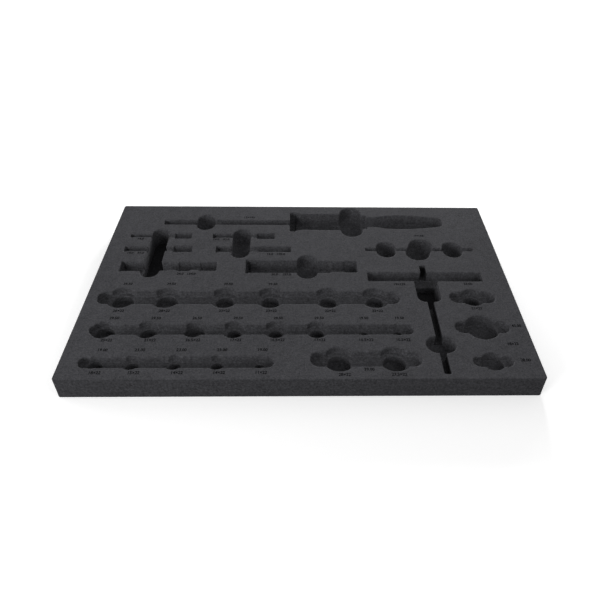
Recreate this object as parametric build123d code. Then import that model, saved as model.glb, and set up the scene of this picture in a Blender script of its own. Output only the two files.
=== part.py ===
from build123d import *
from collections import namedtuple
import os

# Foam insert for a tool drawer: a thick upper sheet with a milled bed for every tool,
# bonded to a thin plain sheet that closes the two pockets that are milled right through.
# Millimetres. X runs along the drawer front, Y to the back, Z up.
# The origin is under the middle of the insert, on the surface that it rests on.

# Each stage of a tool bed that lies along X: its length, its width where it starts and where it
# ends, the depth of its flat floor, and how much either side swells halfway.
Stage = namedtuple("Stage", "length start end depth swell", defaults=(0.0,))

# Each place in a row of standing sockets: the gap from the place before it (or from the row's
# end), the diameter of the shallow seat (0 for none) and of the deep bore.
Station = namedtuple("Station", "gap seat bore")

# Sheets
FOAM_THICKNESS = 27.0
BASE_THICKNESS = 3.0
CORNER_RADIUS = 3.0
TOP = BASE_THICKNESS + FOAM_THICKNESS

# How far cutters reach above the top face, the share of a width that one fillet may take,
# and the smallest step that counts as one
CUT_ABOVE = 5.0
ROUND_SHARE = 0.45
TOLERANCE = 0.001

# Depths below the top face
ROW_DEPTH = 9.5
BORE_DEPTH = 22.0
FINGER_DEPTH = 20.0
FINGER_FLOOR_ROUND = 8.0

# Rows of standing sockets: width of the channel and the stations along it
LARGE_ROW_WIDTH = 25.0
LARGE_SEAT = 39.5
LARGE_ROW = [
    Station(32.0, LARGE_SEAT, 28.0),
    Station(57.5, LARGE_SEAT, 28.0),
    Station(76.0, LARGE_SEAT, 23.0),
    Station(60.0, LARGE_SEAT, 23.0),
    Station(76.5, LARGE_SEAT, 22.0),
    Station(62.0, LARGE_SEAT, 22.0),
]
LARGE_ROW_END = 33.0

MIDDLE_ROW_WIDTH = 17.0
MIDDLE_SEAT = 29.5
MIDDLE_SEAT_SMALL = 19.5
MIDDLE_ROW = [
    Station(17.0, MIDDLE_SEAT, 25.0),
    Station(54.0, MIDDLE_SEAT, 21.0),
    Station(56.5, 0.0, 26.5),
    Station(49.5, MIDDLE_SEAT, 17.0),
    Station(51.5, MIDDLE_SEAT, 16.5),
    Station(51.5, MIDDLE_SEAT, 17.0),
    Station(58.0, MIDDLE_SEAT_SMALL, 10.5),
    Station(43.0, MIDDLE_SEAT_SMALL, 10.5),
]
MIDDLE_ROW_END = 20.0

SMALL_ROW_WIDTH = 17.5
SMALL_SEAT = 23.0
SMALL_SEAT_END = 19.0
SMALL_ROW = [
    Station(17.0, SMALL_SEAT_END, 18.0),
    Station(43.5, SMALL_SEAT, 15.0),
    Station(49.5, SMALL_SEAT, 14.0),
    Station(50.0, SMALL_SEAT, 14.0),
    Station(49.5, SMALL_SEAT_END, 11.0),
]
SMALL_ROW_END = 17.5

PAIR_ROW_WIDTH = 24.0
PAIR_ROW = [
    Station(34.5, 39.0, 28.0),
    Station(66.0, 39.0, 27.5),
]
PAIR_ROW_END = 32.5

# Column of single sockets on the right: channel length and width, then the round well
CAP_1_LENGTH = 61.0
CAP_1_WIDTH = 22.0
CAP_1_SEAT = 33.0
CAP_1_BORE = 21.0
CAP_2_LENGTH = 69.0
CAP_2_WIDTH = 21.0
CAP_2_WELL = 43.0
CAP_2_WELL_DEPTH = 18.0
CAP_3_LENGTH = 48.0
CAP_3_WIDTH = 16.0
CAP_3_CHANNEL_DEPTH = 7.0
CAP_3_WELL = 28.0
CAP_3_WELL_DEPTH = 13.0

# T-handled puller: crossbar, collar, spindle slot, hub pocket through to the base sheet
BAR_DIAMETER = 19.0
BAR_DEPTH = 14.5
BAR_LEFT = 79.0
BAR_RIGHT = 79.5
COLLAR_DIAMETER = 21.0
COLLAR_LENGTH = 29.0
COLLAR_DEPTH = 17.0
SPINDLE_WIDTH = 8.5
SPINDLE_DEPTH = 14.0
SPINDLE_FLOOR_ROUND = 3.5
SPINDLE_BEHIND_BAR = 25.5
SPINDLE_BEFORE_BAR = 177.5
HUB_WIDTH = 32.0
HUB_BACK = 4.0
HUB_FRONT = 51.5
HUB_CORNER = 10.0
PULLER_FINGER_LENGTH = 37.0
PULLER_FINGER_WIDTH = 28.0
PULLER_FINGER_Y = 130.5

# Slide hammer along the back: thin rod, sliding weight with a flange, grip
HAMMER_ROD = Stage(192.0, 12.0, 12.0, 8.0)
HAMMER = [
    Stage(9.0, 51.0, 51.0, 24.5),
    Stage(10.0, 49.0, 42.0, 22.5),
    Stage(92.0, 42.0, 42.0, 22.5, 0.8),
    Stage(8.0, 37.0, 37.0, 17.0),
    Stage(15.0, 26.0, 26.0, 15.5),
    Stage(22.0, 27.0, 36.0, 17.0, 0.6),
    Stage(80.0, 36.0, 19.0, 17.0, 3.2),
]
HAMMER_TIP_ROUND = 7.0
HAMMER_ROD_DROP = 2.5
ROD_FINGER_WIDTH = 28.0
ROD_FINGER_LENGTH = 40.0
ROD_FINGER_FROM_END = 64.0
WEIGHT_FINGER_WIDTH = 33.0
WEIGHT_FINGER_LENGTH = 78.0
WEIGHT_FINGER_FROM_FLANGE = 94.5
WEIGHT_FINGER_DEPTH = 25.0

# Shanks on the left: each has a lip, a thin or thick body, a neck and a head. The long finger
# slot across three of them is milled right through the upper sheet.
SHANK_1 = [
    Stage(4.0, 9.0, 9.0, 6.5),
    Stage(53.0, 7.0, 7.0, 5.5),
    Stage(8.0, 8.5, 8.5, 6.0),
    Stage(25.0, 14.0, 14.0, 8.5),
]
SHANK_2 = [
    Stage(4.0, 12.5, 12.5, 8.5),
    Stage(56.0, 10.0, 10.0, 7.0),
    Stage(10.0, 9.0, 9.0, 6.5),
    Stage(27.0, 14.0, 14.0, 9.0),
]
SHANK_3 = [
    Stage(4.0, 24.0, 24.0, 15.5),
    Stage(53.0, 21.0, 21.0, 14.0),
    Stage(10.0, 18.0, 18.0, 12.5),
    Stage(13.0, 15.0, 15.0, 11.0),
    Stage(18.0, 20.0, 20.0, 13.5),
    Stage(4.0, 14.5, 14.5, 11.0),
    Stage(8.0, 16.0, 16.0, 11.5),
    Stage(24.0, 19.0, 19.0, 13.0),
]
SHANK_4 = [
    Stage(4.0, 11.5, 11.5, 7.5),
    Stage(53.0, 8.5, 8.5, 6.0),
    Stage(9.0, 8.0, 8.0, 5.5),
    Stage(26.0, 14.0, 14.0, 8.5),
]
SHANK_5 = [
    Stage(4.0, 15.5, 15.5, 9.5),
    Stage(46.0, 13.0, 13.0, 8.0),
    Stage(13.0, 11.0, 11.0, 7.0),
    Stage(46.0, 13.0, 13.0, 8.0),
]
BIG_SHANK = [
    Stage(5.0, 30.0, 30.0, 20.0),
    Stage(114.0, 27.0, 27.0, 19.0),
    Stage(2.0, 23.0, 23.0, 17.0),
    Stage(17.0, 22.0, 22.0, 16.5),
    Stage(18.5, 25.0, 25.0, 17.0),
]
SHANK_SLOT_WIDTH = 26.0
SHANK_SLOT_LENGTH = 115.0
SHORT_SLOT_WIDTH = 27.0
SHORT_SLOT_LENGTH = 71.0
BIG_SLOT_WIDTH = 29.0
BIG_SLOT_LENGTH = 53.0
BIG_SLOT_DEPTH = 23.0

# Thin bar on the right with two round finger holes and a slanted one in the middle
THIN_BAR_LENGTH = 157.5
THIN_BAR_DIAMETER = 7.0
THIN_BAR_DEPTH = 5.5
THIN_BAR_OFFSET = 1.5
THIN_FINGER_WIDTH = 28.0
THIN_FINGER_LENGTH = 37.0
THIN_FINGER_SPREAD = 97.0
SLANT_WIDTH = 34.0
SLANT_X = 6.7
SLANT_Y = 17.0

# Layout along X, from the left edge to the right one
LEFT_WALL = 14.0
ROW_TO_HUB = 23.5
HUB_TO_CAPS = 6.5
RIGHT_WALL = 22.0
MIDDLE_ROW_INSET = 20.0
SMALL_ROW_INSET = 22.0
PAIR_ROW_AFTER_SMALL = 42.0
ROD_INSET = 70.0
SHANK_1_INSET = 27.0
SHANK_2_INSET = 25.0
SHANK_3_INSET = 28.0
SHANK_4_INSET = 148.0
SHANK_5_INSET = 156.0
BIG_SHANK_INSET = 202.0
SHANK_SLOT_INSET = 71.0
SHORT_SLOT_INSET = 191.5
BIG_SLOT_INSET = 288.5

# Layout along Y, from the front edge to the back one, line by line
FRONT_TO_SMALL_ROW = 27.0
SMALL_TO_MIDDLE_ROW = 54.5
MIDDLE_TO_LARGE_ROW = 60.0
LARGE_ROW_TO_SHANKS = 66.5
SHANK_LINE_2 = 41.0
SHANK_LINE_3 = 33.0
SHANKS_TO_HAMMER = 38.5
HAMMER_TO_BACK = 43.5
PAIR_ROW_OFFSET = 4.5
CAP_1_OFFSET = 1.0
CAP_2_OFFSET = 4.0
BAR_BELOW_SHANKS = 22.5
SHANK_SLOT_Y = 59.5
SHORT_SLOT_Y = 81.5


def row_length(stations, end):
    """Length of a socket row, from the gaps between its stations and what follows the last one."""
    return sum(station.gap for station in stations) + end


TRAY_LENGTH = (
    LEFT_WALL + row_length(LARGE_ROW, LARGE_ROW_END) + ROW_TO_HUB + HUB_WIDTH
    + HUB_TO_CAPS + CAP_2_LENGTH + RIGHT_WALL
)
TRAY_DEPTH = (
    FRONT_TO_SMALL_ROW + SMALL_TO_MIDDLE_ROW + MIDDLE_TO_LARGE_ROW + LARGE_ROW_TO_SHANKS
    + SHANK_LINE_2 + SHANK_LINE_3 + SHANKS_TO_HAMMER + HAMMER_TO_BACK
)
LEFT = -TRAY_LENGTH / 2
RIGHT = TRAY_LENGTH / 2
X_PULLER = LEFT + LEFT_WALL + row_length(LARGE_ROW, LARGE_ROW_END) + ROW_TO_HUB + HUB_WIDTH / 2
X_THIN_BAR = X_PULLER + THIN_BAR_OFFSET
X_CAPS = RIGHT - RIGHT_WALL - CAP_2_LENGTH / 2
X_SMALL_ROW_RIGHT = LEFT + SMALL_ROW_INSET + row_length(SMALL_ROW, SMALL_ROW_END)
Y_SMALL_ROW = -TRAY_DEPTH / 2 + FRONT_TO_SMALL_ROW
Y_MIDDLE_ROW = Y_SMALL_ROW + SMALL_TO_MIDDLE_ROW
Y_LARGE_ROW = Y_MIDDLE_ROW + MIDDLE_TO_LARGE_ROW
Y_SHANK_LINE_1 = Y_LARGE_ROW + LARGE_ROW_TO_SHANKS
Y_SHANK_LINE_2 = Y_SHANK_LINE_1 + SHANK_LINE_2
Y_SHANK_LINE_3 = Y_SHANK_LINE_2 + SHANK_LINE_3
Y_HAMMER = Y_SHANK_LINE_3 + SHANKS_TO_HAMMER
Y_BAR = Y_SHANK_LINE_1 - BAR_BELOW_SHANKS


def fitted_round(radius, width):
    """The fillet radius, made smaller only where two such fillets would not fit in the width."""
    return min(radius, ROUND_SHARE * width)


def sheet(thickness):
    """Plain foam sheet of the insert's outline, standing on the XY plane."""
    outline = RectangleRounded(TRAY_LENGTH, TRAY_DEPTH, CORNER_RADIUS)
    return extrude(outline, thickness)


def well(outline, depth, floor_round=0.0):
    """Cutter with straight sides under the outline, its floor edge rounded as by a ball-nosed tool."""
    cutter = Pos(0, 0, TOP - depth) * extrude(outline, depth + CUT_ABOVE)
    if floor_round > 0:
        cutter = fillet(cutter.edges().group_by(Axis.Z)[0], floor_round)
    return cutter


def channel(x_start, length, y, width, depth):
    """Cutter for a straight channel along X with full-radius ends and a flat floor."""
    return well(Pos(x_start + length / 2, y) * SlotOverall(length, width), depth)


def finger_slot(x, y, width, length, turn=0.0, depth=FINGER_DEPTH):
    """Cutter for an oblong finger hole along Y, or turned from there about Z."""
    outline = Pos(x, y) * Rot(0, 0, 90 + turn) * SlotOverall(length, width)
    return well(outline, depth, fitted_round(FINGER_FLOOR_ROUND, width))


def stage_outline(x, stage):
    """Outline of one stage of a tool bed that starts at x, with its axis on Y = 0."""
    x_end = x + stage.length
    first = stage.start / 2
    last = stage.end / 2
    edges = [Line((x, -first), (x, first)), Line((x_end, -last), (x_end, last))]
    for side in (-1, 1):
        if stage.swell > 0:
            middle = (x + stage.length / 2, side * ((first + last) / 2 + stage.swell))
            edges.append(ThreePointArc((x, side * first), middle, (x_end, side * last)))
        else:
            edges.append(Line((x, side * first), (x_end, side * last)))
    return make_face(edges)


def tool_bed(x_start, y, stages, tip_round=0.0):
    """Cutters for a tool lying along X: each stage of its outline, cut straight down to its own floor."""
    cutters = []
    x = x_start
    for stage in stages:
        outline = stage_outline(x, stage)
        x += stage.length
        if tip_round > 0 and stage is stages[-1]:
            tip = outline.vertices().group_by(Axis.X)[-1]
            outline = fillet(tip, fitted_round(tip_round, stage.end))
        cutters.append(well(Pos(0, y) * outline, stage.depth))
    return cutters


def socket_row(x_start, y, width, stations, end):
    """Cutters for a row of standing sockets: one channel, a seat and a deep bore at each station."""
    cutters = [channel(x_start, row_length(stations, end), y, width, ROW_DEPTH)]
    x = x_start
    for station in stations:
        x += station.gap
        if station.seat > 0:
            cutters.append(well(Pos(x, y) * Circle(station.seat / 2), ROW_DEPTH))
        cutters.append(well(Pos(x, y) * Circle(station.bore / 2), BORE_DEPTH))
    return cutters


def cap_pockets():
    """Cutters for the three single sockets in the right-hand column."""
    y_1 = Y_LARGE_ROW + CAP_1_OFFSET
    y_2 = Y_MIDDLE_ROW + CAP_2_OFFSET
    return [
        channel(X_CAPS - CAP_1_LENGTH / 2, CAP_1_LENGTH, y_1, CAP_1_WIDTH, ROW_DEPTH),
        well(Pos(X_CAPS, y_1) * Circle(CAP_1_SEAT / 2), ROW_DEPTH),
        well(Pos(X_CAPS, y_1) * Circle(CAP_1_BORE / 2), BORE_DEPTH),
        channel(X_CAPS - CAP_2_LENGTH / 2, CAP_2_LENGTH, y_2, CAP_2_WIDTH, ROW_DEPTH),
        well(Pos(X_CAPS, y_2) * Circle(CAP_2_WELL / 2), CAP_2_WELL_DEPTH),
        channel(X_CAPS - CAP_3_LENGTH / 2, CAP_3_LENGTH, Y_SMALL_ROW, CAP_3_WIDTH, CAP_3_CHANNEL_DEPTH),
        well(Pos(X_CAPS, Y_SMALL_ROW) * Circle(CAP_3_WELL / 2), CAP_3_WELL_DEPTH),
    ]


def puller_bed():
    """Cutters for the T-handled puller: bar, collar, spindle, hub and the finger hole over the spindle."""
    bar = Stage(BAR_LEFT + BAR_RIGHT, BAR_DIAMETER, BAR_DIAMETER, BAR_DEPTH)
    collar = Stage(COLLAR_LENGTH, COLLAR_DIAMETER, COLLAR_DIAMETER, COLLAR_DEPTH)
    cutters = tool_bed(X_PULLER - BAR_LEFT, Y_BAR, [bar])
    cutters += tool_bed(X_PULLER - COLLAR_LENGTH / 2, Y_BAR, [collar])
    spindle_length = SPINDLE_BEHIND_BAR + SPINDLE_BEFORE_BAR
    spindle_y = Y_BAR + SPINDLE_BEHIND_BAR - spindle_length / 2
    spindle = well(
        Pos(X_PULLER, spindle_y) * Rectangle(SPINDLE_WIDTH, spindle_length), SPINDLE_DEPTH
    )
    floor_edges = spindle.edges().group_by(Axis.Z)[0].filter_by(Axis.Y)
    spindle = fillet(floor_edges, fitted_round(SPINDLE_FLOOR_ROUND, SPINDLE_WIDTH))
    hub_length = HUB_FRONT - HUB_BACK
    hub_outline = Pos(X_PULLER, Y_BAR - HUB_BACK - hub_length / 2) * Rectangle(HUB_WIDTH, hub_length)
    front_corners = hub_outline.vertices().group_by(Axis.Y)[0]
    hub_outline = fillet(front_corners, fitted_round(HUB_CORNER, HUB_WIDTH))
    hub = well(hub_outline, FOAM_THICKNESS)
    finger = finger_slot(
        X_PULLER, Y_BAR - PULLER_FINGER_Y, PULLER_FINGER_WIDTH, PULLER_FINGER_LENGTH, turn=90
    )
    return cutters + [spindle, hub, finger]


def hammer_bed():
    """Cutters for the slide hammer along the back and its two finger holes."""
    x_rod = LEFT + ROD_INSET
    x_flange = x_rod + HAMMER_ROD.length
    y_rod = Y_HAMMER - HAMMER_ROD_DROP
    return [
        *tool_bed(x_rod, y_rod, [HAMMER_ROD]),
        *tool_bed(x_flange, Y_HAMMER, HAMMER, HAMMER_TIP_ROUND),
        finger_slot(x_rod + ROD_FINGER_FROM_END, y_rod, ROD_FINGER_WIDTH, ROD_FINGER_LENGTH),
        finger_slot(
            x_flange + WEIGHT_FINGER_FROM_FLANGE, Y_HAMMER, WEIGHT_FINGER_WIDTH, WEIGHT_FINGER_LENGTH,
            depth=WEIGHT_FINGER_DEPTH,
        ),
    ]


def shank_beds():
    """Cutters for the six shanks on the left and the three finger slots across them."""
    long_slot = Rot(0, 0, 90) * SlotOverall(SHANK_SLOT_LENGTH, SHANK_SLOT_WIDTH)
    return [
        *tool_bed(LEFT + SHANK_1_INSET, Y_SHANK_LINE_3, SHANK_1),
        *tool_bed(LEFT + SHANK_2_INSET, Y_SHANK_LINE_2, SHANK_2),
        *tool_bed(LEFT + SHANK_3_INSET, Y_SHANK_LINE_1, SHANK_3),
        *tool_bed(LEFT + SHANK_4_INSET, Y_SHANK_LINE_3, SHANK_4),
        *tool_bed(LEFT + SHANK_5_INSET, Y_SHANK_LINE_2, SHANK_5),
        *tool_bed(LEFT + BIG_SHANK_INSET, Y_SHANK_LINE_1, BIG_SHANK),
        well(Pos(LEFT + SHANK_SLOT_INSET, SHANK_SLOT_Y) * long_slot, FOAM_THICKNESS),
        finger_slot(LEFT + SHORT_SLOT_INSET, SHORT_SLOT_Y, SHORT_SLOT_WIDTH, SHORT_SLOT_LENGTH),
        finger_slot(
            LEFT + BIG_SLOT_INSET, Y_SHANK_LINE_1, BIG_SLOT_WIDTH, BIG_SLOT_LENGTH, depth=BIG_SLOT_DEPTH
        ),
    ]


def thin_bar_bed():
    """Cutters for the thin bar on the right, with its three finger holes."""
    half_spread = THIN_FINGER_SPREAD / 2
    x_left = X_THIN_BAR - THIN_BAR_LENGTH / 2
    slant_end = Circle(SLANT_WIDTH / 2)
    front_end = Pos(X_THIN_BAR - SLANT_X / 2, Y_SHANK_LINE_2 - SLANT_Y / 2) * slant_end
    back_end = Pos(X_THIN_BAR + SLANT_X / 2, Y_SHANK_LINE_2 + SLANT_Y / 2) * slant_end
    slant = make_hull(front_end.edges() + back_end.edges())
    bar = Stage(THIN_BAR_LENGTH, THIN_BAR_DIAMETER, THIN_BAR_DIAMETER, THIN_BAR_DEPTH)
    return [
        *tool_bed(x_left, Y_SHANK_LINE_2, [bar]),
        finger_slot(X_THIN_BAR - half_spread, Y_SHANK_LINE_2, THIN_FINGER_WIDTH, THIN_FINGER_LENGTH),
        finger_slot(X_THIN_BAR + half_spread, Y_SHANK_LINE_2, THIN_FINGER_WIDTH, THIN_FINGER_LENGTH),
        well(slant, FINGER_DEPTH, fitted_round(FINGER_FLOOR_ROUND, SLANT_WIDTH)),
    ]


def foam_body():
    """Upper sheet with every bed milled into it."""
    body = Pos(0, 0, BASE_THICKNESS) * sheet(FOAM_THICKNESS)
    x_pair = X_SMALL_ROW_RIGHT + PAIR_ROW_AFTER_SMALL
    cutters = socket_row(LEFT + LEFT_WALL, Y_LARGE_ROW, LARGE_ROW_WIDTH, LARGE_ROW, LARGE_ROW_END)
    cutters += socket_row(LEFT + MIDDLE_ROW_INSET, Y_MIDDLE_ROW, MIDDLE_ROW_WIDTH, MIDDLE_ROW, MIDDLE_ROW_END)
    cutters += socket_row(LEFT + SMALL_ROW_INSET, Y_SMALL_ROW, SMALL_ROW_WIDTH, SMALL_ROW, SMALL_ROW_END)
    cutters += socket_row(x_pair, Y_SMALL_ROW + PAIR_ROW_OFFSET, PAIR_ROW_WIDTH, PAIR_ROW, PAIR_ROW_END)
    cutters += cap_pockets()
    cutters += puller_bed()
    cutters += hammer_bed()
    cutters += shank_beds()
    cutters += thin_bar_bed()
    for cutter in cutters:
        body -= cutter
    return body


def base_sheet():
    """Thin plain sheet bonded under the upper one."""
    return sheet(BASE_THICKNESS)


os.makedirs("parts", exist_ok=True)
for name, solid in {"foam_body": foam_body(), "base_sheet": base_sheet()}.items():
    export_step(solid, f"parts/{name}.step")
    print(name, "solids", len(solid.solids()), "volume", round(solid.volume), "mm3")
print("insert", TRAY_LENGTH, "x", TRAY_DEPTH, "x", TOP, "mm")
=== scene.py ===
# %% [markdown]
# # A foam insert for a tool drawer
#
# The real object is a sheet of dark grey closed-cell foam that lies in a workshop drawer. A router has
# milled a bed into it for every tool of a puller set, and a hot tool has burnt small numbers beside the
# beds. The lesson goes the way that light meets the thing: the camera and the lamps first, then the foam
# with its cells and its soft rims, and last the burnt numbers.

# %% Load the frame
import math

import bmesh
import bpy
from mathutils import Matrix, Vector


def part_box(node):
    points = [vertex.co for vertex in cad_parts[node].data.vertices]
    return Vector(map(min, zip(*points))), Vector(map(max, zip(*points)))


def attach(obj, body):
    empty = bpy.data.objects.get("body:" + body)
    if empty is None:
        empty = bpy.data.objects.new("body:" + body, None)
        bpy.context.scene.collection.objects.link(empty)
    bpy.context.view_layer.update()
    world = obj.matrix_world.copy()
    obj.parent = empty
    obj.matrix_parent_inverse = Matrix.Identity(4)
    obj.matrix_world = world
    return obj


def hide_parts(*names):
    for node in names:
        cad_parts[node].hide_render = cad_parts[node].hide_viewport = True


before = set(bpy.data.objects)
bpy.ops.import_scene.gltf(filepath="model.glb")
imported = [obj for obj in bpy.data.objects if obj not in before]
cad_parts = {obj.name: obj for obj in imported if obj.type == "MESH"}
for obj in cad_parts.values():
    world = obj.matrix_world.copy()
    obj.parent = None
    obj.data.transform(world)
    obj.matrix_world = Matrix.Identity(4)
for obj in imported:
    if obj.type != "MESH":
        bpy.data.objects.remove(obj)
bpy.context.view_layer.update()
scene = bpy.context.scene
MM = 0.001
print("CAD nodes:", sorted(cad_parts))

# %% [markdown]
# ## Camera
#
# The insert was photographed from the front, from about 40 degrees above it. A camera is fixed by where it
# stands, where it looks, how it is rolled and how long its lens is. These were worked out from the corners
# of the sheet, whose real size is known. The photograph had been cropped a little off centre, so the lens
# is shifted sideways by the same small share of the picture.

# %% Place the camera
SENSOR_WIDTH = 36.0
FOCAL_LENGTH = 35.2
SIDE_SHIFT = -0.0333
CAMERA_PLACE = Vector((1.0, -624.3, 535.8)) * MM
CAMERA_LOOKS = Vector((0.02837, 0.75292, -0.65750)).normalized()
CAMERA_RIGHT = Vector((0.99960, -0.02087, 0.01923))


def look_matrix(place, forward, right):
    """World matrix of a camera or lamp at a place, looking forward, with its right side given."""
    right = (right - forward * right.dot(forward)).normalized()
    up = right.cross(forward)
    turn = Matrix((right, up, -forward)).transposed()
    return Matrix.Translation(place) @ turn.to_4x4()


camera_data = bpy.data.cameras.new("photo_camera")
camera_data.sensor_width = SENSOR_WIDTH
camera_data.lens = FOCAL_LENGTH
camera_data.shift_x = SIDE_SHIFT
camera = bpy.data.objects.new("photo_camera", camera_data)
camera.matrix_world = look_matrix(CAMERA_PLACE, CAMERA_LOOKS, CAMERA_RIGHT)
scene.collection.objects.link(camera)
scene.camera = camera
print("camera", [round(x, 3) for x in camera.location], "lens", round(camera_data.lens, 1), "mm")

# %% [markdown]
# ## Light
#
# Pockets only read as pockets if light falls into them from the side. Four soft boxes stand round the
# sheet. Two light it from the front, low on the left and higher on the right, and so reach the back walls
# of the beds. One stands low on the left and one low behind, which lifts the tone of the top face towards
# the back and leaves the deep floors dim. With the soft light of the sky, their strengths add up to a
# plain level, at which a colour renders about as it is written.

# %% Hang the soft boxes
LAMP_DISTANCE = 1.5


def soft_box(name, azimuth, elevation, size, watts):
    """Square area lamp aimed at the middle of the sheet; azimuth 0 is the front, positive to the right."""
    data = bpy.data.lights.new(name, "AREA")
    data.shape = "SQUARE"
    data.size = size
    data.energy = watts
    lamp = bpy.data.objects.new(name, data)
    turn = math.radians(azimuth)
    rise = math.radians(elevation)
    back = Vector((math.sin(turn) * math.cos(rise), -math.cos(turn) * math.cos(rise), math.sin(rise)))
    lamp.matrix_world = look_matrix(back * LAMP_DISTANCE, -back, Vector((-back.y, back.x, 0)))
    lamp.visible_camera = False
    scene.collection.objects.link(lamp)
    return lamp


soft_box("front_left_soft_box", azimuth=-45, elevation=20, size=0.6, watts=13.5)
soft_box("front_right_soft_box", azimuth=50, elevation=35, size=0.6, watts=3.2)
soft_box("left_soft_box", azimuth=-105, elevation=12, size=0.6, watts=5)
soft_box("back_soft_box", azimuth=168, elevation=12, size=0.5, watts=32)
scene.view_settings.view_transform = "Standard"

# %% [markdown]
# ## Nodes with short names
#
# Every finish from here on is a tree of nodes: little machines that pass numbers and colours on to the
# shader. They could be set up one by one, but the same three lines would come back fifty times. So a small
# class holds the tree of one material or world, and each of its calls adds one kind of node.

# %% Helper for nodes


class Finish:
    """Node tree of one material or world, with a short call for each kind of node that is used here."""

    def __init__(self, owner):
        owner.use_nodes = True
        self.nodes = owner.node_tree.nodes
        self.links = owner.node_tree.links

    def feed(self, socket, value):
        """Sets the socket to a number, or links it to another node's output."""
        if isinstance(value, (int, float)):
            socket.default_value = value
        else:
            self.links.new(value, socket)

    def place(self):
        """Where a point of the surface lies, in the object's own coordinates."""
        return self.nodes.new("ShaderNodeTexCoord").outputs["Object"]

    def maths(self, operation, first, second):
        """Result of one operation on two values."""
        node = self.nodes.new("ShaderNodeMath")
        node.operation = operation
        self.feed(node.inputs[0], first)
        self.feed(node.inputs[1], second)
        return node.outputs[0]

    def stretch(self, value, low, high, to_low=0.0, to_high=1.0):
        """Value taken from one range to another, and held inside it."""
        node = self.nodes.new("ShaderNodeMapRange")
        self.feed(node.inputs["Value"], value)
        node.inputs["From Min"].default_value = low
        node.inputs["From Max"].default_value = high
        node.inputs["To Min"].default_value = to_low
        node.inputs["To Max"].default_value = to_high
        return node.outputs["Result"]

    def seen_ray(self):
        """1 where the camera, a reflection or a clear material looks, 0 for the rays that carry light."""
        path = self.nodes.new("ShaderNodeLightPath")
        seen = self.maths("MAXIMUM", path.outputs["Is Camera Ray"], path.outputs["Is Glossy Ray"])
        return self.maths("MAXIMUM", seen, path.outputs["Is Transmission Ray"])


# %% [markdown]
# ## Floor and background
#
# The insert stands on a white sweep. A ray that comes straight from the camera, or from a reflection,
# sees the world as plain white, while the rays that carry light to the foam get a good third of that. The
# floor adds a glow for camera rays to the light that it catches, so that it is white except in the soft
# shadow.

# %% Make the white world
WHITE = (1, 1, 1, 1)
SKY_LIGHT = 0.38

world = bpy.data.worlds.new("white_world")
scene.world = world
sky = Finish(world)
background = sky.nodes["Background"]
background.inputs["Color"].default_value = WHITE
sky.feed(background.inputs["Strength"], sky.stretch(sky.seen_ray(), 0, 1, SKY_LIGHT, 1.0))
print("world", world.name, "gives", SKY_LIGHT, "of white as light")

# %% Lay the floor
FLOOR_SIZE = 12.0
FLOOR_COLOR = (0.8, 0.8, 0.8, 1)
FLOOR_ROUGHNESS = 0.9
FLOOR_GLOW_NEAR = 0.38
GLOW_START = 0.35
GLOW_END = 0.9

floor_material = bpy.data.materials.new("white_floor")
sweep = Finish(floor_material)
floor_shader = sweep.nodes["Principled BSDF"]
floor_shader.inputs["Base Color"].default_value = FLOOR_COLOR
floor_shader.inputs["Roughness"].default_value = FLOOR_ROUGHNESS
floor_shader.inputs["Emission Color"].default_value = WHITE
from_middle = sweep.nodes.new("ShaderNodeVectorMath")
from_middle.operation = "LENGTH"
sweep.feed(from_middle.inputs[0], sweep.place())
glow = sweep.stretch(from_middle.outputs["Value"], GLOW_START, GLOW_END, FLOOR_GLOW_NEAR, 1.0)
sweep.feed(floor_shader.inputs["Emission Strength"], sweep.maths("MULTIPLY", glow, sweep.seen_ray()))

floor_mesh = bpy.data.meshes.new("floor")
half = FLOOR_SIZE / 2
floor_corners = [(-half, -half, 0), (half, -half, 0), (half, half, 0), (-half, half, 0)]
floor_mesh.from_pydata(floor_corners, [], [(0, 1, 2, 3)])
floor_mesh.materials.append(floor_material)
floor = bpy.data.objects.new("floor", floor_mesh)
scene.collection.objects.link(floor)
print("floor", FLOOR_SIZE, "m wide")

# %% [markdown]
# ## Foam material
#
# Closed-cell foam is matt and dark, but never even. The top face keeps the skin of the sheet, with a fine
# grain. The cutter has torn the cells open in the beds, so their floors are mottled with pale specks and
# carry faint lines along the cutter's way. The outer faces are given a darker tone. A photograph of
# foam could be wrapped round the sheet, but it would smear on the walls of the beds. Noise in four sizes
# fills the space instead, from small grains to broad clouds, and a wave draws the cutter's lines, so any
# face that cuts through that space shows them at the right scale.

# %% Set the scales of the foam
FOAM_COLOR = (0.0535, 0.0535, 0.0580)
JOINT_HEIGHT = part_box("foam_body")[0][2]
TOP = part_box("foam_body")[1][2]
HALF_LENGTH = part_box("foam_body")[1][0]
HALF_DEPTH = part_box("foam_body")[1][1]
GRAIN_PER_METRE = 700
CLUMPS_PER_METRE = 330
PATCHES_PER_METRE = 110
CLOUDS_PER_METRE = 16
CUTTER_STEP = 2.2 * MM
print("foam", round(2 * HALF_LENGTH, 3), "by", round(2 * HALF_DEPTH, 3), "m, top at", round(TOP, 3))

# %% Helpers for cells and cutter lines
NOISE_ROUGHNESS = 0.6
NOISE_MIDDLE = 0.5
WAVE_LENGTH_AT_ONE = math.tau / 20
LINE_WAVER = 1.5


def noise(finish, place, per_metre, detail):
    """Noise with so many features a metre, spread evenly about zero."""
    texture = finish.nodes.new("ShaderNodeTexNoise")
    texture.inputs["Scale"].default_value = per_metre
    texture.inputs["Detail"].default_value = detail
    texture.inputs["Roughness"].default_value = NOISE_ROUGHNESS
    finish.feed(texture.inputs["Vector"], place)
    return finish.maths("SUBTRACT", texture.outputs["Fac"], NOISE_MIDDLE)


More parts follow.
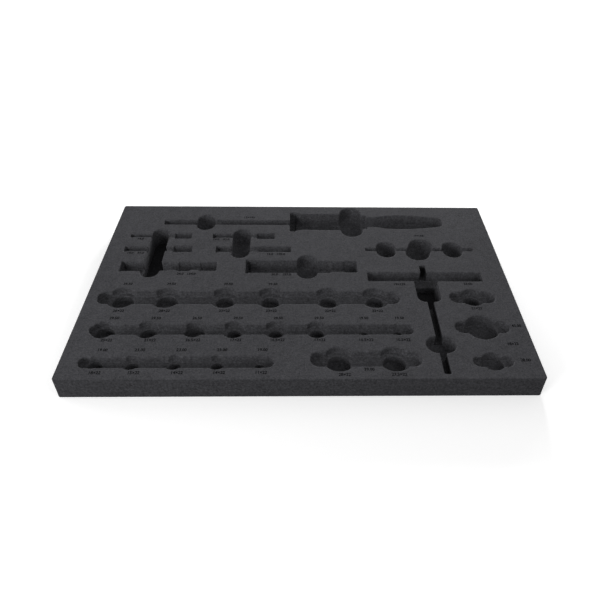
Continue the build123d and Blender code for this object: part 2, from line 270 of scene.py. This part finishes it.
def cutter_lines(finish, y, z, place):
    """Faint lines along X, one for each step of the cutter across a floor or down a wall."""
    across = finish.nodes.new("ShaderNodeCombineXYZ")
    finish.feed(across.inputs["Y"], finish.maths("ADD", y, z))
    drift = noise(finish, place, PATCHES_PER_METRE, detail=1.0)
    finish.feed(across.inputs["X"], finish.maths("MULTIPLY", drift, CUTTER_STEP))
    wave = finish.nodes.new("ShaderNodeTexWave")
    wave.bands_direction = "Y"
    wave.inputs["Scale"].default_value = WAVE_LENGTH_AT_ONE / CUTTER_STEP
    wave.inputs["Distortion"].default_value = LINE_WAVER
    wave.inputs["Detail Scale"].default_value = 1.0
    finish.feed(wave.inputs["Vector"], across.outputs[0])
    return finish.maths("SUBTRACT", wave.outputs["Fac"], NOISE_MIDDLE)


# %% [markdown]
# One material serves the whole insert, so it has to tell by itself where the skin ends. Each face could be
# given a material of its own, but then the border would follow the mesh in steps. Here the object's own
# coordinates decide, and they stay put when the camera moves. Skin lies just below the top, and sawn foam
# just inside the outer faces. Where the two sheets join, the floor of the pockets that go right through the
# upper one gets painted shade and is made much darker. The long slot of the spindle gets painted shade too:
# its walls are darkened from just below the rim down to its floor.

# %% Helpers that tell the parts of the foam apart
SKIN_THICKNESS = 0.4 * MM
SKIN_FADE = 0.3 * MM
SAWN_DEPTH = 1.2 * MM
SAWN_FADE = 0.6 * MM
# Painted shade: a thin band at the joint of the two sheets, the floor of the through pockets, is darkened.
JOINT_BAND_REACH = 0.1 * MM
JOINT_BAND_FADE = 0.3 * MM
# Painted shade in the spindle's slot, from just below its rim down to its floor.
SLOT_X = 168.5 * MM
SLOT_HALF_WIDTH = 4.7 * MM
SLOT_BACK_END = 30 * MM
SLOT_FRONT_END = -176 * MM
SLOT_FLOOR = 15.4 * MM
SLOT_WALL_FADE = 0.3 * MM
SLOT_END_FADE = 1.0 * MM
SLOT_SHADE_STARTS_BELOW_TOP = 1.0 * MM
SLOT_SHADE_FULL_BELOW_TOP = 5.0 * MM


def band(finish, value, low, high, fade):
    """1 where the value lies between low and high, and falling to 0 over the fade outside them."""
    above_low = finish.stretch(value, low - fade, low)
    below_high = finish.stretch(value, high, high + fade, 1.0, 0.0)
    return finish.maths("MULTIPLY", above_low, below_high)


def near_edge(finish, value, edge):
    """1 just inside the outer faces at plus and minus edge, and 0 further in."""
    distance = finish.maths("ABSOLUTE", value, 0.0)
    return finish.stretch(distance, edge - SAWN_DEPTH, edge - SAWN_DEPTH + SAWN_FADE)


def painted_slot_shade(finish, x, y, z):
    """Painted shade: 1 in the spindle's slot, below its rim and down to its floor, and 0 elsewhere."""
    across = band(finish, x, SLOT_X - SLOT_HALF_WIDTH, SLOT_X + SLOT_HALF_WIDTH, SLOT_WALL_FADE)
    along = band(finish, y, SLOT_FRONT_END, SLOT_BACK_END, SLOT_END_FADE)
    below_rim = finish.stretch(z, TOP - SLOT_SHADE_FULL_BELOW_TOP, TOP - SLOT_SHADE_STARTS_BELOW_TOP, 1.0, 0.0)
    above_floor = finish.stretch(z, SLOT_FLOOR - SLOT_WALL_FADE, SLOT_FLOOR)
    deep = finish.maths("MULTIPLY", below_rim, above_floor)
    return finish.maths("MULTIPLY", finish.maths("MULTIPLY", across, along), deep)


def foam_masks(finish, x, y, z):
    """Four masks, 1 where the foam is milled, where it is sawn, and where shade is painted on the through
    pockets' floors and in the spindle's slot.
    """
    skin = finish.stretch(z, TOP - SKIN_THICKNESS, TOP - SKIN_THICKNESS + SKIN_FADE)
    milled = finish.maths("SUBTRACT", 1.0, skin)
    outside = finish.maths("MAXIMUM", near_edge(finish, x, HALF_LENGTH), near_edge(finish, y, HALF_DEPTH))
    sawn = finish.maths("MULTIPLY", outside, milled)
    # Painted shade on the floor of the through pockets, at the joint of the two sheets.
    joint_band = band(finish, z, JOINT_HEIGHT - JOINT_BAND_REACH, JOINT_HEIGHT + JOINT_BAND_REACH, JOINT_BAND_FADE)
    through_floor_shade = finish.maths("SUBTRACT", joint_band, sawn)
    return milled, sawn, through_floor_shade, painted_slot_shade(finish, x, y, z)


# %% [markdown]
# The textures and masks could each get a colour of their own, mixed one over the other. Foam has only one
# colour, though, lighter or darker, so everything is summed up into one tone that scales it and stays
# close to 1. The same cells also dent the surface a little, as bump, because they are too small for the
# mesh.

# %% Helpers for tone and surface
PIT_STRENGTH = 0.5


def tone_about_one(finish, weighted, darkest):
    """1 plus each value times its weight, but never below the darkest tone."""
    tone = 1.0
    for value, weight in weighted:
        tone = finish.maths("ADD", finish.maths("MULTIPLY", value, weight), tone)
    return finish.maths("MAXIMUM", tone, darkest)


def matt_surface(finish, color, tone, height, depth, roughness, gloss):
    """Shader whose colour is scaled by the tone, with pits of this depth where the height is low."""
    shader = finish.nodes["Principled BSDF"]
    toned = finish.nodes.new("ShaderNodeVectorMath")
    toned.operation = "SCALE"
    toned.inputs[0].default_value = color
    finish.feed(toned.inputs["Scale"], tone)
    finish.feed(shader.inputs["Base Color"], toned.outputs[0])
    shader.inputs["Roughness"].default_value = roughness
    shader.inputs["Specular IOR Level"].default_value = gloss
    pits = finish.nodes.new("ShaderNodeBump")
    pits.inputs["Strength"].default_value = PIT_STRENGTH
    pits.inputs["Distance"].default_value = depth
    finish.feed(pits.inputs["Height"], height)
    finish.feed(shader.inputs["Normal"], pits.outputs["Normal"])


# %% Make the foam material
GRAIN_SHARE = 1.4
SKIN_CLUMP_SHARE = 0.7
MILLED_CLUMP_SHARE = 1.0
PATCH_SHARE = 0.45
CLOUD_SHARE = 0.25
LINE_SHARE = 0.24
SPECK_SHARE = 0.12
SPECK_STARTS = 0.10
SPECK_FULL = 0.22
DARKEST_CELL = 0.25
SKIN_TONE = 0.94
MILLED_TONE = 0.98
# The outer faces are given a darker tone.
OUTER_FACE_TONE = 0.62
# Painted shade: how dark the floor of the through pockets is made.
THROUGH_FLOOR_SHADE_TONE = 0.35
# Painted shade: how dark the spindle's slot is made.
SLOT_SHADE_TONE = 0.35
CELL_DEPTH = 0.3 * MM


def foam_material(name):
    """Dark closed-cell foam: grained skin on top, torn cells and cutter lines below, sawn outer faces."""
    material = bpy.data.materials.new(name)
    finish = Finish(material)
    place = finish.place()
    axes = finish.nodes.new("ShaderNodeSeparateXYZ")
    finish.feed(axes.inputs[0], place)
    x, y, z = axes.outputs[:3]
    milled, sawn, through_floor_shade, slot_shade = foam_masks(finish, x, y, z)

    grain = noise(finish, place, GRAIN_PER_METRE, detail=2.0)
    clumps = noise(finish, place, CLUMPS_PER_METRE, detail=1.0)
    patches = noise(finish, place, PATCHES_PER_METRE, detail=2.0)
    clouds = noise(finish, place, CLOUDS_PER_METRE, detail=2.0)
    lines = finish.maths("MULTIPLY", cutter_lines(finish, y, z, place), milled)
    specks = finish.maths("MULTIPLY", finish.stretch(clumps, SPECK_STARTS, SPECK_FULL), milled)
    clump_share = finish.stretch(milled, 0, 1, SKIN_CLUMP_SHARE, MILLED_CLUMP_SHARE)

    tone = tone_about_one(finish, [
        (grain, GRAIN_SHARE), (clumps, clump_share), (patches, PATCH_SHARE), (clouds, CLOUD_SHARE),
        (lines, LINE_SHARE), (specks, SPECK_SHARE),
    ], DARKEST_CELL)
    # The last two masks darken the colour as painted shade, on the through pockets' floors and in the slot.
    for mask, off_tone, on_tone in (
        (milled, SKIN_TONE, MILLED_TONE), (sawn, 1.0, OUTER_FACE_TONE),
        (through_floor_shade, 1.0, THROUGH_FLOOR_SHADE_TONE), (slot_shade, 1.0, SLOT_SHADE_TONE),
    ):
        tone = finish.maths("MULTIPLY", tone, finish.stretch(mask, 0, 1, off_tone, on_tone))

    torn = finish.maths("ADD", finish.maths("MULTIPLY", clumps, milled), lines)
    height = finish.maths("ADD", grain, torn)
    matt_surface(finish, FOAM_COLOR, tone, height, CELL_DEPTH, roughness=0.92, gloss=0.03)
    return material


closed_cell_foam = foam_material("closed_cell_foam")
print("material", closed_cell_foam.name, "with", len(closed_cell_foam.node_tree.nodes), "nodes")

# %% [markdown]
# ## The upper sheet
#
# The CAD node already has every bed at its real size, but its edges are razor sharp. Foam never has such an
# edge: its cells give way, and the rim of a milled bed is round by half a millimetre. A bevel gets lost
# where many beds cut into each other, so the copy is rebuilt from small cubes of space, which always gives
# one closed skin. Two passes of smoothing round its rims, and thinning it out leaves faces only where the
# form bends. The sheet is first made a little too thick and then sliced off level, because a glued joint
# has no round rim.

# %% Helpers for meshes
SAME_POINT = 0.001 * MM
LARGE_FACE_WEIGHT = 80


def welded_copy(node):
    """Editable copy of a CAD node's mesh, with its doubled points merged."""
    form = bmesh.new()
    form.from_mesh(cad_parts[node].data)
    bmesh.ops.remove_doubles(form, verts=form.verts, dist=SAME_POINT)
    return form


def into_mesh(form, name):
    """New mesh made from an editable form, which is used up."""
    mesh = bpy.data.meshes.new(name)
    form.to_mesh(mesh)
    form.free()
    return mesh


def open_edges(form):
    """How many edges don't have just two faces; a closed form has none."""
    return sum(1 for edge in form.edges if not edge.is_manifold)


def new_piece(name, mesh, material):
    """Object with this mesh and material, linked to the scene."""
    piece = bpy.data.objects.new(name, mesh)
    mesh.materials.clear()
    mesh.materials.append(material)
    scene.collection.objects.link(piece)
    return piece


def applied(piece):
    """The piece's mesh with its modifiers carried out; the piece itself loses them."""
    graph = bpy.context.evaluated_depsgraph_get()
    mesh = bpy.data.meshes.new_from_object(piece.evaluated_get(graph))
    piece.modifiers.clear()
    return mesh


def shade_softly(piece):
    """Smooth shading in which the large flat faces keep their direction, and marked edges stay sharp."""
    piece.data.shade_smooth()
    shading = piece.modifiers.new("shading", "WEIGHTED_NORMAL")
    shading.weight = LARGE_FACE_WEIGHT
    shading.keep_sharp = True
    piece.data = applied(piece)


# %% Rebuild the upper sheet with soft rims
VOXEL = 0.9 * MM
SMOOTH_PASSES = 2
SMOOTH_SHARE = 0.5
FACES_KEPT = 0.10
SPARE = 2 * MM

form = welded_copy("foam_body")
for point in form.verts:
    if point.co.z < JOINT_HEIGHT + SAME_POINT:
        point.co.z -= SPARE

upper = new_piece("milled_foam", into_mesh(form, "milled_foam"), closed_cell_foam)
rebuild = upper.modifiers.new("rebuild", "REMESH")
rebuild.mode = "VOXEL"
rebuild.voxel_size = VOXEL
soften = upper.modifiers.new("soften", "SMOOTH")
soften.factor = SMOOTH_SHARE
soften.iterations = SMOOTH_PASSES
thin = upper.modifiers.new("thin", "DECIMATE")
thin.ratio = FACES_KEPT
upper.data = applied(upper)
print("rebuilt:", len(upper.data.vertices), "points,", len(upper.data.polygons), "faces")

# %% Slice it off level at the glued joint
form = bmesh.new()
form.from_mesh(upper.data)
sliced = bmesh.ops.bisect_plane(
    form, geom=form.verts[:] + form.edges[:] + form.faces[:], dist=SAME_POINT,
    plane_co=(0, 0, JOINT_HEIGHT), plane_no=(0, 0, -1), clear_outer=True,
)
rim = [part for part in sliced["geom_cut"] if isinstance(part, bmesh.types.BMEdge)]
bmesh.ops.triangle_fill(form, edges=rim, use_beauty=True, normal=(0, 0, -1))
bmesh.ops.recalc_face_normals(form, faces=form.faces)
for edge in rim:
    edge.smooth = False
print("sliced:", len(form.faces), "faces,", open_edges(form), "open edges")
form.to_mesh(upper.data)
form.free()
shade_softly(upper)

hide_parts("foam_body")
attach(upper, "root")

# %% [markdown]
# ## The base sheet
#
# Under it lies a thin plain sheet, glued on, which shows as the floor of the pockets that go right through.
# It has no beds, so a plain bevel is enough: triangles of the CAD mesh are merged back into flat faces, and
# the edges all round are broken with a small radius.

# %% Bevel the base sheet
EDGE_BREAK = 0.4 * MM
EDGE_STEPS = 2
FLAT_ANGLE = math.radians(1)
CORNER_ANGLE = math.radians(60)

form = welded_copy("base_sheet")
bmesh.ops.dissolve_limit(form, angle_limit=FLAT_ANGLE, verts=form.verts, edges=form.edges)
round_edges = [edge for edge in form.edges if edge.calc_face_angle(0) > CORNER_ANGLE]
bmesh.ops.bevel(form, geom=round_edges, offset=EDGE_BREAK, segments=EDGE_STEPS, profile=0.5, affect="EDGES")
print("base sheet:", len(form.faces), "faces,", open_edges(form), "open edges")
base = new_piece("bonded_base_foam", into_mesh(form, "bonded_base_foam"), closed_cell_foam)
shade_softly(base)

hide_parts("base_sheet")
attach(base, "root")

# %% [markdown]
# ## Burnt numbers
#
# A hot pen has burnt the sizes of the pockets into the skin beside them, in small upright figures. They are
# part of the surface, but their strokes are thinner than the foam's own faces, so each group of numbers is
# a thin closed mesh of its own, sunk into the foam and level with the crust that a burn leaves. Its foam
# has turned to a black char.

# %% Make the char
CHAR_COLOR = (0.006, 0.006, 0.0065)
CHAR_PER_METRE = 900
CHAR_SHARE = 3.0
DARKEST_CHAR = 0.3
CHAR_DEPTH = 0.1 * MM

burnt_char = bpy.data.materials.new("burnt_char")
burn = Finish(burnt_char)
crumbs = noise(burn, burn.place(), CHAR_PER_METRE, detail=3.0)
char_tone = tone_about_one(burn, [(crumbs, CHAR_SHARE)], DARKEST_CHAR)
matt_surface(burn, CHAR_COLOR, char_tone, crumbs, CHAR_DEPTH, roughness=0.95, gloss=0.0)
print("material", burnt_char.name, "with", len(burnt_char.node_tree.nodes), "nodes")

# %% Helper that burns one group of numbers
FIGURE_SIZE = 6.3 * MM
FIGURE_SQUEEZE = 0.86
FIGURE_STEPS = 3
STROKE_SWELL = 0.16 * MM
BURN_DEPTH = 0.30 * MM
CRUST = 0.05 * MM


def burn_numbers(name, labels):
    """Closed thin mesh of burnt numbers; each label is its text and the x and y of its middle, in mm."""
    form = bmesh.new()
    for text, x, y in labels:
        curve = bpy.data.curves.new("figures", "FONT")
        curve.body = text
        curve.size = FIGURE_SIZE
        curve.align_x = "CENTER"
        curve.align_y = "CENTER"
        curve.resolution_u = FIGURE_STEPS
        curve.offset = STROKE_SWELL
        curve.extrude = (BURN_DEPTH + CRUST) / 2
        holder = bpy.data.objects.new("figures", curve)
        scene.collection.objects.link(holder)
        drawn = applied(holder)
        middle = TOP + CRUST - (BURN_DEPTH + CRUST) / 2
        place = Matrix.Translation((x * MM, y * MM, middle))
        drawn.transform(place @ Matrix.Diagonal((FIGURE_SQUEEZE, 1, 1, 1)))
        form.from_mesh(drawn)
        bpy.data.objects.remove(holder)
        bpy.data.curves.remove(curve)
        bpy.data.meshes.remove(drawn)
    bmesh.ops.remove_doubles(form, verts=form.verts, dist=SAME_POINT)
    bmesh.ops.recalc_face_normals(form, faces=form.faces)
    print(name, len(labels), "labels,", len(form.faces), "faces,", open_edges(form), "open edges")
    piece = new_piece(name, into_mesh(form, name), burnt_char)
    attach(piece, "root")
    return piece


# %% [markdown]
# The rows of standing sockets carry the width of the seat above each bore, and the bore's width and depth
# below it. A row is written once, as the places of its bores, so its labels follow in a loop. The places
# are millimetres on the sheet, with the origin in its middle.

# %% Number the socket rows
BORE_DEPTH = 22
Y_LARGE_SEATS = -12.6
Y_LARGE_BORES = -66.4
Y_MIDDLE_SEATS = -80.0
Y_MIDDLE_BORES = -119.0
Y_SMALL_SEATS = -135.5
Y_SMALL_BORES = -171.5
LARGE_ROW = ((-234, 39.5, 28), (-176, 39.5, 28), (-100, 39.5, 23), (-40, 39.5, 23))
LARGE_ROW_RIGHT = ((35.5, 22), (96.5, 22))
MIDDLE_ROW = (
    (-236, 29.5, 25), (-184, 29.5, 21), (-132.5, 26.5, 26.5), (-81, 29.5, 17),
    (-30.5, 29.5, 16.5), (21, 29.5, 17), (77.5, 19.5, 10.5), (123, 19.5, 10.5),
)
SMALL_ROW = ((-236.5, 19, 18), (-192.5, 23, 15), (-143.5, 23, 14), (-95.5, 23, 14), (-47.5, 19, 11))


def bore_label(bore):
    """Width and depth of a bore, as it is burnt below it."""
    return f"{bore:g}×{BORE_DEPTH}"


def row_labels(stations, y_seats, y_bores):
    """Labels above and below a row; each station is the x of its labels, the seat and the bore."""
    labels = []
    for x, seat, bore in stations:
        labels.append((f"{seat:.2f}", x, y_seats))
        labels.append((bore_label(bore), x, y_bores))
    return labels


burn_numbers("large_row_numbers", row_labels(LARGE_ROW, Y_LARGE_SEATS, Y_LARGE_BORES) + [
    (bore_label(bore), x, Y_LARGE_BORES) for x, bore in LARGE_ROW_RIGHT
])
burn_numbers("middle_row_numbers", row_labels(MIDDLE_ROW, Y_MIDDLE_SEATS, Y_MIDDLE_BORES))
burn_numbers("small_row_numbers", row_labels(SMALL_ROW, Y_SMALL_SEATS, Y_SMALL_BORES))
burn_numbers("pair_numbers", [
    (bore_label(28), 48.5, -175), (bore_label(27.5), 111.5, -175), ("39.00", 77.5, -167),
])

# %% [markdown]
# The other pockets follow no common pattern, so their labels are written out one by one: the seats and
# bores of the single sockets, the widths of the shanks with most of their lengths beside them, and the
# width and length of each bar.

# %% Number the single sockets, the shanks and the bars
burn_numbers("single_socket_numbers", [
    ("33.00", 225.4, -11.6), (bore_label(21), 226.5, -61.4), ("43.00", 269.4, -94.4),
    (bore_label(18), 256.4, -126.2), ("28.00", 264.4, -153.1),
])
burn_numbers("shank_numbers", [
    ("14.0", -239, 92), ("14.0", -128, 91), ("92.0", -113, 91), ("14.0", -246.5, 57), ("97.0", -231.5, 57),
    ("13.0", -47, 55), ("109.0", -31.5, 55), ("24.0", -168, 9.3), ("134.0", -153, 9.3),
    ("30.0", -38.5, 8.3), ("157.0", -22, 8.3),
])
burn_numbers("bar_numbers", [("12×192", -83, 150), ("7×158", 175, 102), ("19×159", 131.4, -12.6)])
